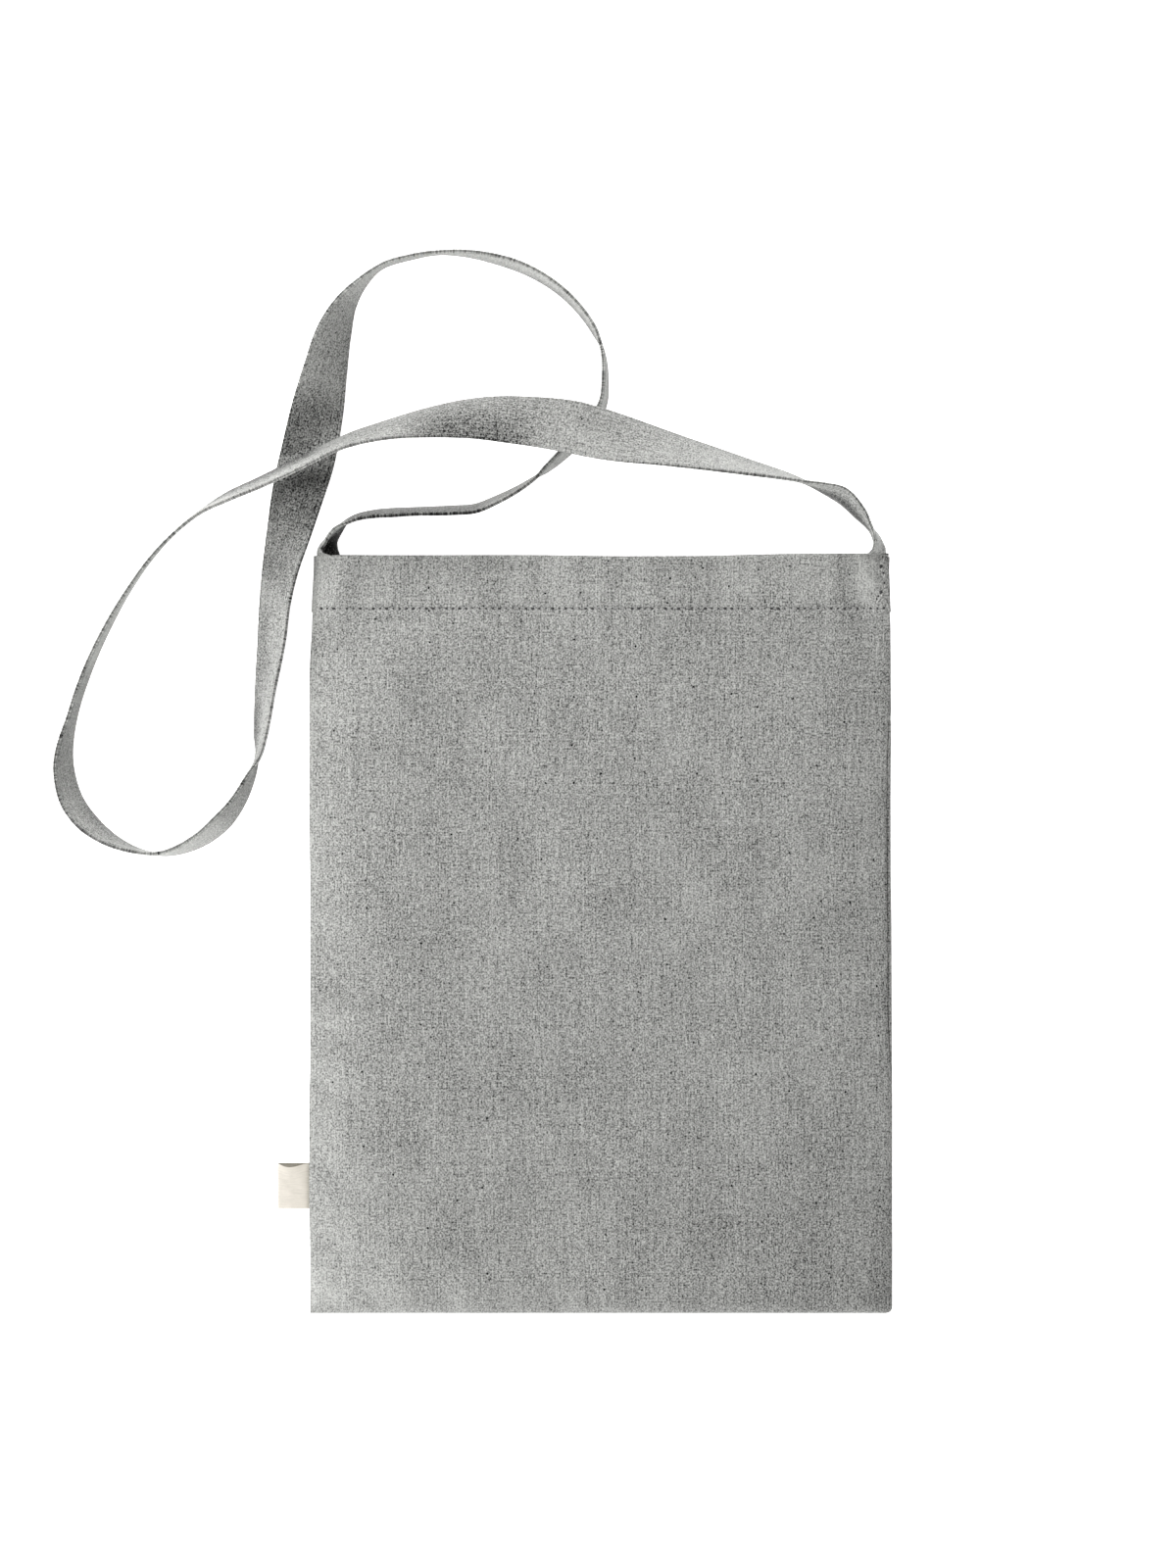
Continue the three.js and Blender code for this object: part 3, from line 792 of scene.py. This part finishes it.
# %% Rows of the strap's route
# x and y in mm, lean and fold in degrees, lift in mm, bow in degrees
ROUTE = np.array(
    [
        (-155.3, 181, 0, 180, 2.3, 0),
        (-155.3, 199.5, 0, 180, 2.3, 0),
        (-155.2, 204.5, -5, 160, 2.4, 0),
        (-155.1, 207.6, -18, 136, 2.2, 0),
        (-154.8, 210.4, -32, 80, 1.2, 0),
        (-153, 213.9, -24, 60, 0.4, 0),
        (-151.3, 215.7, -20, 50, 0.3, 0),
        (-149.7, 217.5, -9, 19, 0.2, 0),
        (-144.8, 222.7, -4, 6, 0, 2),
        (-138.1, 227.9, 5.2, 3, 0, 5),
        (-124, 231.3, 7.8, 0, 0, 6),
        (-115, 231.9, 8.6, 0, 0, 6),
        (-104, 232.5, 8, 0, 0, 6),
        (-81, 233.1, 9, 0, 0, 4),
        (-68.9, 234, 9, 0, 0, 3),
        (-57.9, 238.3, 8.2, 0, 0, 2),
        (-35.8, 250.9, 3, 0, 0, 0),
        (-30.4, 255.2, -2.6, 0, 0, 0),
        (-22, 262.5, -6.4, 0, 0, 0),
        (-10, 275, -9, 0, 0, 0),
        (1.3, 292.2, -5.5, 0, 0, 0),
        (2.4, 304, -4.2, 0, 0, 0),
        (0, 324, -1, 0, 0, 0),
        (-3.8, 332.1, 2.6, 0, 0, 0),
        (-15, 347, 3.6, 0, 0, 0),
        (-48, 368, 5, 0, 0, 0),
        (-56, 370.4, 4.2, 0, 0, 0),
        (-73.8, 373.9, 0.8, 0, 0, 0),
        (-90, 374.3, -2.2, 0, 0, 0),
        (-105, 371.8, -1, 0, 0, 0),
        (-121, 366.6, -0.6, 0, 0, 0),
        (-130.9, 358.2, 5.5, 0, 0, 1),
        (-139.3, 347.2, 17, 0, 0, 4),
        (-146, 331.6, 33.6, 0, 0, 6),
        (-151.3, 309.3, 48.5, 0, 0, 8),
        (-156.2, 286.8, 68, 0, 0, 6),
        (-160.8, 265.8, 84, 0, 0, 4),
        (-166.7, 242.7, 109.5, 0, 0, 4),
        (-171.5, 221.9, 126, 0, 0, 4),
        (-176.6, 198.9, 139.5, 0, 0, 2),
        (-179.3, 180, 146, 0, 0, 0),
        (-180.7, 163.2, 149, 0, 0, 0),
        (-184.1, 136, 157.3, 0, 0, 0),
        (-187.2, 109.4, 166, 0, 0, 6),
        (-188.9, 98, 174.3, 0, 0, 14),
        (-192.9, 86.3, 185, 0, 0, 5),
        (-201.5, 69.6, 192.3, 0, 0, 0),
        (-208.8, 61, 195.2, 0, 0, 0),
        (-220.9, 51.3, 191.6, 0, 0, 0),
        (-245, 44, 181, 0, 0, 0),
        (-255.2, 45.8, 177.6, 0, 0, 0),
        (-276, 56, 166.4, 0, 0, 0),
        (-283.4, 62.6, 162.6, 0, 0, 0),
        (-290, 71.6, 161.5, 0, 0, 0),
        (-295, 89, 164.3, 0, 0, 0),
        (-289.5, 123.1, 176.2, 0, 0, 0),
        (-283.1, 142.3, 177, 0, 0, 0),
        (-271, 169, 179, 0, 0, 0),
        (-258.5, 190.5, 181.4, 0, 0, 0),
        (-248, 205.4, 182.2, 0, 0, 0),
        (-238.1, 216.7, 183.3, 0, 0, 0),
        (-220.3, 231.6, 184.6, 0, 0.6, 0),
        (-204.2, 240.5, 190, 0, 2, 0),
        (-187.9, 247.6, 191.8, 0, 4.2, -1),
        (-164, 258.9, 193, 0, 8.5, -2),
        (-144.2, 268.7, 193.2, 0, 11, -5),
        (-135.9, 272.1, 195.2, 0, 12.2, -10),
        (-120.3, 276.8, 199.5, 0, 14, -20),
        (-96.1, 282, 212.5, 0, 18, -40),
        (-72, 284.7, 228.5, 0, 22, -62),
        (-45, 283, 246, 0, 26, -70),
        (-14.2, 277.8, 254.5, 0, 31, -40),
        (-6, 275.9, 250.5, 0, 29.6, -34),
        (36.1, 266.4, 219, 0, 18, -8),
        (76.1, 257.6, 199, 0, 6, -4),
        (111.1, 248.4, 183.4, 0, 0, 8),
        (122.1, 244, 174, 0, 0, 20),
        (131.8, 239.1, 167.5, 0, 0, 34),
        (141.8, 229.7, 171.6, 0, 0, 24),
        (147.6, 223.9, 179, -4, 0, 8),
        (152.7, 218, 182, -22, 0.6, 0),
        (154.9, 213.4, 183, -46, 1.2, 0),
        (155.9, 210.9, 181, -90, 2.0, 0),
        (156.1, 208.6, 178, -164, 2.4, 0),
        (156.1, 202, 180, -180, 2.3, 0),
        (156.1, 181, 180, -180, 2.3, 0),
    ],
    float,
)
print("strap route:", len(ROUTE), "rows")

# %% Route of the strap
STRAP_STEP = 2.2 * MM


def along_route(rows, step):
    """The rows joined by cubic curves.

    Places leave a row along the parabola through it and its neighbours. The other columns use a
    tangent that never passes beyond the rows on either side."""
    chord = np.hypot(*np.diff(rows[:, :2], axis=0).T)
    knot = np.concatenate([[0], np.cumsum(chord)])
    secant = np.diff(rows, axis=0) / chord[:, None]
    before, after = secant[:-1], secant[1:]
    weight = (chord[1:] / (chord[1:] + chord[:-1]))[:, None]
    parabola = before * weight + after * (1 - weight)
    same = before * after > 0
    bounded = np.where(same, 2 * before * after / np.where(same, before + after, 1), 0)
    inner = np.concatenate([parabola[:, :2], bounded[:, 2:]], 1)
    tangent = np.concatenate([secant[:1], inner, secant[-1:]])
    s = np.linspace(0, knot[-1], int(round(knot[-1] / step)) + 1)
    i = np.clip(np.searchsorted(knot, s, side="right") - 1, 0, len(chord) - 1)
    h = chord[i][:, None]
    t = (s - knot[i])[:, None] / h
    ends = (1 + 2 * t) * (1 - t) ** 2 * rows[i] + t * t * (3 - 2 * t) * rows[i + 1]
    return ends + h * (t * (1 - t) ** 2 * tangent[i] + t * t * (t - 1) * tangent[i + 1])


route = along_route(ROUTE, STRAP_STEP / MM) * np.array([MM, MM, np.pi / 180, np.pi / 180, MM, np.pi / 180])
route[:, 3] = np.clip(route[:, 3], -np.pi, np.pi)
print("strap route:", len(route), "stations")

# %% [markdown]
# Across its width the strap is a closed profile of a distance across and a height off the middle
# layer. The two rows of stitches nip it, and along both edges two folded layers meet in a slit, which
# reads as a dark line from above. The profile is carried along the route: at each station the middle
# layer is drawn by adding up short steps whose direction turns with the lean, the fold and the bow.

# %% Profile of the strap
STRAP_WIDTH = 30.6 * MM
STRAP_THICK = 2.1 * MM
STITCH_IN = 1.9 * MM
SLIT_DEEP = 1.3 * MM
LIP = 0.5 * MM
half = STRAP_WIDTH / 2


def strap_profile():
    """Distance across and height of the closed profile: a slit, the outer face, a slit, the inner face."""
    flat = np.array([13.9, 13.5, 13.1, 12.7, 12.2, 11, 8.5, 6, 4, 2.4, 1.5, 1.0, 0.5, 0]) * MM
    across = np.concatenate([-flat, flat[-2::-1]])
    nip = 1 - 0.3 * bell(half - STITCH_IN - np.abs(across), 0.75 * MM)
    face = np.stack([across, STRAP_THICK / 2 * nip], 1)
    lip = np.radians([70, 35, 0, -40, -80])
    lip_across = half - LIP + LIP * np.cos(lip)
    lip = np.stack([lip_across, 0.54 * MM + 0.48 * MM * np.sin(lip)], 1)
    slit = np.array([(half - SLIT_DEEP, 0.0)])
    outer = np.concatenate([-slit, lip[::-1] * (-1, 1), face, lip, slit])
    inner = outer[-2:0:-1] * (1, -1)
    return np.concatenate([outer, inner])


profile = strap_profile()
layer = np.unique(np.concatenate([profile[:, 0].round(9), [0.0]]))
middle = int(np.searchsorted(layer, 0.0))
print("strap profile of", len(profile), "points")


# %% Carry the profile along the route
STRAP_FOLD = 1.2 * MM
YARN_BESIDE = 0.4


def strap_layer(route):
    """Inward and upward place and direction of the middle layer at each station and distance across.

    The direction is upright, less the lean, less the share of the fold that has been turned so far
    and a bow that grows evenly across. Steps along it are added up from the middle line outwards."""
    lean, fold, bow = route[:, [2, 3, 5]].T[:, :, None]

    def direction(u):
        share = np.clip(u / (STRAP_FOLD * np.pi / 2), -1, 1)
        return np.pi / 2 - lean - fold / 2 * share - bow / 2 * (u / half)

    step = np.diff(layer)
    angle = direction((layer[1:] + layer[:-1]) / 2)
    start = np.zeros((len(route), 1))
    inward = np.concatenate([start, np.cumsum(np.cos(angle) * step, 1)], 1)
    upward = np.concatenate([start, np.cumsum(np.sin(angle) * step, 1)], 1)
    return inward - inward[:, [middle]], upward - upward[:, [middle]], direction(layer)


inward, upward, direction = strap_layer(route)
pick = np.searchsorted(layer, profile[:, 0].round(9))
off = profile[:, 1]
reach_in = inward[:, pick] - off * np.sin(direction[:, pick])
reach_up = upward[:, pick] + off * np.cos(direction[:, pick])
reach_up += route[:, [4]] - reach_up.min(1, keepdims=True)
way = np.gradient(route[:, :2], axis=0)
way /= np.linalg.norm(way, axis=1, keepdims=True)
strap_x = route[:, [0]] + way[:, [1]] * reach_in
strap_y = route[:, [1]] - way[:, [0]] * reach_in
strap_points = np.stack([strap_x, strap_y, reach_up], -1)
run = np.concatenate([[0], np.cumsum(np.linalg.norm(np.diff(route[:, :2], axis=0), axis=1))])
strap_yarn = np.stack(np.broadcast_arrays(profile[:, 0] + YARN_BESIDE, run[:, None]), -1)

# %% [markdown]
# Much of the strap's light and shade is painted. The stretch that lies on the shoulder is lighter in
# painted light, and painted shade darkens its edges, the slits along them, a row of stitches, the inside of
# its left end and the hollow of the bend near its right end. A short list gives each painted stretch with a
# tone for either edge, and the tone runs evenly from one edge to the other.


# %% Painted light and shade of the strap
def stretch(start, end, fade):
    """1 along part of the strap, from 0 over one fade before its start and back over one after its end."""
    rise = ease(run, start - fade, start) - ease(run, end, end + fade)
    return rise[:, None]


across = profile[:, 0]
at_edge = np.abs(across) - half
to_first = ease(across, -half, half)
to_second = 1 - to_first
# Painted shade: the slits and edges, the inside of the left end, one stitch row and the bend's hollow.
slit_shade = -0.3 * bell(at_edge + 0.8 * MM, 0.8 * MM) * (np.abs(off) < 0.3 * MM)
edge_shade = -0.09 * bell(at_edge, 0.7 * MM)
inner_shade = -0.38 * stretch(0.022, 0.036, 0.010) * (off < 0)
stitch_row_shade = -0.25 * stretch(0.43, 0.53, 0.03) * bell(across + 13.1 * MM, 0.45 * MM)
hollow = ease(across, -12 * MM, -1 * MM) * (1 - 0.7 * ease(across, 1 * MM, 13 * MM))
bend_light_and_shade = stretch(1.350, 1.380, 0.03) * (0.08 - 0.5 * hollow) * (off > 0)
strap_tone = slit_shade * (1 - 0.8 * stretch(1.0, 1.12, 0.03)) + edge_shade + inner_shade + stitch_row_shade + bend_light_and_shade

# Painted light and shade: start and end along the strap in m, fade, tone to the first edge and to the second
STRAP_LIGHT_AND_SHADE = [
    (0.040, 0.048, 0.008, 0.10, -0.62),
    (0.060, 0.122, 0.014, -0.26, 0.00),
    (0.205, 0.405, 0.020, 0.16, 0.00),
    (0.258, 0.296, 0.022, 0.08, -0.17),
    (0.482, 0.530, 0.020, -0.20, -0.18),
    (0.545, 0.568, 0.018, -0.22, -0.08),
    (0.600, 0.675, 0.020, -0.20, 0.13),
    (0.648, 0.672, 0.010, -0.16, 0.03),
    (0.720, 0.760, 0.010, 0.16, 0.26),
    (0.775, 0.800, 0.015, -0.14, 0.00),
    (0.900, 1.000, 0.020, 0.14, 0.14),
    (0.930, 0.952, 0.012, 0.15, 0.08),
    (1.005, 1.060, 0.015, -0.38, 0.13),
    (1.085, 1.105, 0.020, -0.02, 0.08),
    (1.145, 1.170, 0.035, 0.00, -0.21),
    (1.230, 1.320, 0.060, 0.07, 0.14),
    (1.390, 1.398, 0.005, 0.18, 0.18),
]
for begin, stop, fade, first, second in STRAP_LIGHT_AND_SHADE:
    strap_tone = strap_tone + stretch(begin, stop, fade) * (first * to_first + second * to_second)
print("strap tones from", round(float(strap_tone.min()), 2), "to", round(float(strap_tone.max()), 2))

# %% Strap
ring = np.arange(len(profile))
strap_faces = list(grid_faces(len(route), len(ring), ring=True))
strap_faces += [ring[::-1], (len(route) - 1) * len(ring) + ring]
strap_band = cloth_piece("strap_band", strap_points, strap_faces, strap_yarn, grey_cotton, strap_tone)
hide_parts("strap")

# %% [markdown]
# Stitches are small lens-shaped lengths of thread, one after another, and on the front of the hem the
# needle holes between them show as dark dots. Each is one low ball stretched along its row, so two
# thousand of them stay light. Centres, directions and normals come as arrays, and one formula places all.


# %% Thread finish
def plain_thread(name, light, dark):
    """Matte spun thread: a tight slanting twist and soft uneven shade on object coordinates."""
    finish, tree, shader = new_finish(name)
    where = put(tree, "ShaderNodeTexCoord").outputs["Object"]
    shade = calc(tree, "MULTIPLY_ADD", patches(tree, where, 420, 2.0, 0.6), 0.35, MIDDLE_SHADE)
    colour_by(tree, shader, shade, dark, light)
    twist = put(tree, "ShaderNodeTexWave", None, Vector=where, Scale=900.0, Distortion=1.5)
    raise_by(tree, shader, twist.outputs["Fac"], 0.3, 0.1 * MM)
    shader.inputs["Roughness"].default_value = 0.85
    shader.inputs["Specular IOR Level"].default_value = 0.25
    return finish


grey_thread = plain_thread("grey_thread", (0.42, 0.42, 0.41), (0.26, 0.26, 0.255))
white_thread = plain_thread("white_thread", (0.62, 0.62, 0.60), (0.45, 0.45, 0.44))
needle_shade = plain_thread("needle_shade", (0.07, 0.07, 0.07), (0.025, 0.025, 0.025))
print("threads:", grey_thread.name, white_thread.name, needle_shade.name)

# %% Rows of stitches
BALL_RINGS = 4
BALL_SIDES = 6


def balls(centre, along, normal, size):
    """Stretched balls: centre + along x + beside y + normal z, for a unit ball's points scaled by size."""
    centre, along, normal = np.broadcast_arrays(centre, along, normal)
    along = along / np.linalg.norm(along, axis=-1, keepdims=True)
    beside = np.cross(normal, along)
    beside = beside / np.linalg.norm(beside, axis=-1, keepdims=True)
    normal = np.cross(along, beside)
    tilt = np.linspace(0, np.pi, BALL_RINGS + 2)[1:-1, None]
    spin = np.arange(BALL_SIDES) * 2 * np.pi / BALL_SIDES
    round_it = (np.cos(tilt), np.sin(tilt) * np.cos(spin), np.sin(tilt) * np.sin(spin))
    rings = np.stack(np.broadcast_arrays(*round_it), -1)
    unit = np.concatenate([rings.reshape(-1, 3), [(1, 0, 0), (-1, 0, 0)]])
    full = unit * np.broadcast_to(size, centre.shape)[:, None]
    points = centre[:, None] + full[..., [0]] * along[:, None] + full[..., [1]] * beside[:, None]
    points = points + full[..., [2]] * normal[:, None]
    sides = grid_faces(BALL_RINGS, BALL_SIDES, ring=True)
    turn = np.arange(BALL_SIDES)
    after = (turn + 1) % BALL_SIDES
    last = (BALL_RINGS - 1) * BALL_SIDES
    pole = np.full(BALL_SIDES, BALL_RINGS * BALL_SIDES)
    cap = np.stack([after, pole, turn], 1)
    base = np.stack([last + turn, pole + 1, last + after], 1)
    first = (np.arange(len(centre)) * len(unit))[:, None, None]
    quads = (sides + first).reshape(-1, 4)
    ends = (np.concatenate([cap, base]) + first).reshape(-1, 3)
    return points, list(quads[:, ::-1]) + list(ends)


def stitch_row(line, normal, pitch, skip=0.0):
    """Evenly spaced places on a line of points: centre, direction along and normal of each stitch."""
    length = np.concatenate([[0], np.cumsum(np.linalg.norm(np.diff(line, axis=0), axis=1))])
    at = np.arange(pitch / 2 + skip, length[-1] - skip, pitch)
    along = np.gradient(line, axis=0)

    def sample(values):
        return np.stack([np.interp(at, length, values[:, k]) for k in range(3)], 1)

    return sample(line), sample(along), sample(np.broadcast_to(normal, line.shape))


def sew(name, rows, size, finish):
    """One piece of all the stitches in several rows."""
    centre, along, normal = (np.concatenate(part) for part in zip(*rows))
    points, faces = balls(centre, along, normal, size)
    flat = points.reshape(-1, 3)
    piece = cloth_piece(name, flat, faces, flat[:, :2], finish)
    return piece


print("one stitch has", BALL_SIDES * (BALL_RINGS + 1), "faces")

# %% [markdown]
# The hem is sewn down by one straight row, with a stitch every 3.65 mm. On the front it follows the
# height of the cloth, with needle holes of uneven size between the stitches. On the underside it lies
# in a shallow groove, clear of the table.

# %% Hem stitches
HEM_PITCH = 3.65 * MM
HEM_THREAD = (1.15 * MM, 0.28 * MM, 0.2 * MM)
HOLE = np.array([0.9, 0.8, 0.3]) * MM
HEM_INSET = 3 * MM
HEM_POINTS = 400
UNDERSIDE = 0.3 * MM
UP = np.array([0.0, 0.0, 1.0])

hem_x = np.linspace(-HALF_WIDTH + HEM_INSET, HALF_WIDTH - HEM_INSET, HEM_POINTS)
hem_y = np.full_like(hem_x, HEM_LINE)
hem_front = np.stack([hem_x, hem_y + mouth_drift(hem_x, hem_y), front_height(hem_x, hem_y)], 1)
hem_back = np.stack([hem_x, hem_y, np.full_like(hem_x, UNDERSIDE)], 1)
hem_rows = [stitch_row(hem_front, UP, HEM_PITCH), stitch_row(hem_back, -UP, HEM_PITCH)]
hem_thread = sew("hem_thread", hem_rows, HEM_THREAD, grey_thread)
hole_rows = [stitch_row(hem_front[2:], UP, HEM_PITCH, HEM_PITCH / 2 - 2 * (hem_x[1] - hem_x[0]))]
hole_size = HOLE * np.random.default_rng(4).uniform(0.45, 1.2, (len(hole_rows[0][0]), 1))
hem_holes = sew("hem_holes", hole_rows, hole_size, needle_shade)

# %% [markdown]
# The strap's right end is tacked to the hem by a short row of hand stitches down the edge of the front.
# They are uneven in place and size, so each is given by a row, and their thread is lighter than the cloth.

# %% Tack stitches
# Place in mm and size of each needle hole
TACKS = np.array(
    [
        (155.1, 207.4, 0.6),
        (154.2, 202.0, 1.1),
        (155.6, 198.5, 0.7),
        (155.9, 193.0, 0.7),
        (154.2, 188.0, 1.2),
        (152.8, 185.8, 0.7),
        (151.8, 184.2, 0.6),
    ]
)

TACK_SHIFT = np.array([0.5, -1.5, 0.05]) * MM
TACK_THREAD = (1.2 * MM, 0.4 * MM, 0.3 * MM)
TACK_WAY = (0.3, 1.0, 0.0)

tack_x, tack_y = TACKS[:, 0] * MM, TACKS[:, 1] * MM
tack_points = np.stack([tack_x, tack_y, front_height(tack_x, tack_y)], 1)
tack_way = np.tile(TACK_WAY, (len(TACKS), 1))
tack_up = np.tile(UP, (len(TACKS), 1))
tack_holes = sew("tack_holes", [(tack_points, tack_way, tack_up)], HOLE * TACKS[:, 2:], needle_shade)
thread_points = tack_points + TACK_SHIFT
tack_thread = sew("tack_thread", [(thread_points, tack_way, tack_up)], TACK_THREAD, white_thread)

# %% [markdown]
# The strap's two edge rows are sewn through all four layers, so they show on both faces. Their lines
# are two columns of the strap's own points, and the normals point away from the middle layer.

# %% Strap stitches
STRAP_PITCH = 3.4 * MM
STRAP_THREAD = (1.15 * MM, 0.24 * MM, 0.16 * MM)


def face_line(place, side):
    """The strap's points at a distance across on one face, and the face's normals there."""
    column = int(np.argmin(np.abs(across - place) + (np.sign(off) != side)))
    angle = direction[:, pick[column]]
    normal = np.stack([-way[:, 1] * np.sin(angle), way[:, 0] * np.sin(angle), np.cos(angle)], 1) * side
    return strap_points[:, column], normal


row_in = half - STITCH_IN
strap_lines = [face_line(edge * row_in, side) for edge in (1, -1) for side in (1, -1)]
strap_rows = [stitch_row(line, normal, STRAP_PITCH) for line, normal in strap_lines]
strap_thread = sew("strap_thread", strap_rows, STRAP_THREAD, grey_thread)

# %% [markdown]
# The label is a short length of cream tape folded in two and caught in the left seam. Its fold faces
# outwards, and at its upper end the two layers stand apart, so that the inside shows as a narrow dark
# lens. Beside the seam, where the tape dips under the cloth, it is darker too.

# %% Cream tape
TAPE_SHADE = 0.8


def ribbed_tape(name, light, dark):
    """A close cream tape: fine ribs along its length on the cloth coordinates, with soft uneven shade."""
    finish, tree, shader = new_finish(name)
    where = put(tree, "ShaderNodeUVMap", {"uv_map": "yarn"}).outputs[0]
    fine = put(tree, "ShaderNodeMapping", None, Vector=where, Scale=(1.6, 1.6, 1)).outputs[0]
    height = weave(tree, fine)
    cloud = patches(tree, where, 150, 3.0, 0.6)
    streak = patches(tree, where, 1.0, 2.0, 0.5, (160, 1300, 1))
    shade = calc(tree, "MULTIPLY_ADD", cloud, 0.05, TAPE_SHADE)
    shade = calc(tree, "MULTIPLY_ADD", streak, 0.05, shade)
    shade = calc(tree, "MULTIPLY_ADD", height, 0.08, shade)
    shade = calc(tree, "ADD", shade, point_tone(tree))
    colour_by(tree, shader, shade, dark, light)
    raise_by(tree, shader, height, 0.35, 0.08 * MM)
    shader.inputs["Roughness"].default_value = 0.82
    shader.inputs["Specular IOR Level"].default_value = 0.25
    return finish


cream_tape = ribbed_tape("cream_tape", (0.76, 0.715, 0.64), (0.05, 0.045, 0.02))
print("finish:", cream_tape.name)

# %% Fold of the label
LABEL_OUT = 17.5 * MM
LABEL_IN = 5 * MM
TAPE = 0.5 * MM
TAPE_LOW = 1.75 * MM
TAPE_GAP = 1.9 * MM
LAYER_STEPS = 26
TURN_STEPS = 12

label_edge = float(side_edges(np.array(LABEL_Y), 0)[0])
fold_x = label_edge - LABEL_OUT + TAPE_GAP / 2 + TAPE / 2
lower_x = np.linspace(label_edge + LABEL_IN, fold_x, LAYER_STEPS)
turn = np.linspace(-np.pi / 2, -3 * np.pi / 2, TURN_STEPS)[1:-1]
tape_x = np.concatenate([lower_x, fold_x + TAPE_GAP / 2 * np.cos(turn), lower_x[::-1]])
tape_fold = TAPE_LOW + TAPE_GAP / 2 * (1 + np.sin(turn))
tape_z = np.pad(tape_fold, LAYER_STEPS, constant_values=(TAPE_LOW, TAPE_LOW + TAPE_GAP))
upper = np.pad(np.linspace(0, 1, len(turn)), LAYER_STEPS, constant_values=(0, 1))
label_run = np.concatenate([[0], np.cumsum(np.hypot(np.diff(tape_x), np.diff(tape_z)))])

# %% Label
TAPE_ROWS = 33
OPEN_BACK = 2.3 * MM
OPEN_UP = 0.7 * MM
OPEN_DOWN = 0.9 * MM
LOW_END_UP = 0.2 * MM
FOLD_DROP = 0.5 * MM

out = np.clip((label_edge - tape_x) / LABEL_OUT, 0, 1)
bulge = np.sin(np.pi * out**1.4)
tape_v = np.linspace(-1, 1, TAPE_ROWS)[:, None]
top_end = ease(tape_v, -0.2, 1.0)
low_end = ease(-tape_v, 0.2, 1.0)
label_x = tape_x + 0 * tape_v
label_y = LABEL_Y + LABEL_TALL / 2 * tape_v - OPEN_BACK * upper * bulge * top_end
label_z = tape_z + bulge * (OPEN_UP * upper * top_end - OPEN_DOWN * (1 - upper) * (0.4 + 0.6 * top_end))
label_z = label_z + LOW_END_UP * upper * bulge * low_end - FOLD_DROP * out
label_yarn = np.stack(np.broadcast_arrays(label_run, LABEL_TALL / 2 * tape_v), -1)
at_seam = np.clip(label_edge - label_x, 0, None)
seam_shade = 0.22 * np.exp(-at_seam / (6 * MM)) + 0.25 * bell(at_seam, 1.3 * MM)
lens_shade = 0.52 * (upper < 0.5) * ease(tape_v, 0.2, 0.7)
label_tone = 0.06 - seam_shade - lens_shade
label_points = np.stack([label_x, label_y, label_z], -1)
label_faces = grid_faces(*label_x.shape)[:, ::-1]
label_tape = cloth_piece("label_tape", label_points, label_faces, label_yarn, cream_tape, label_tone)
thicken(label_tape, TAPE)
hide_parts("side_label")
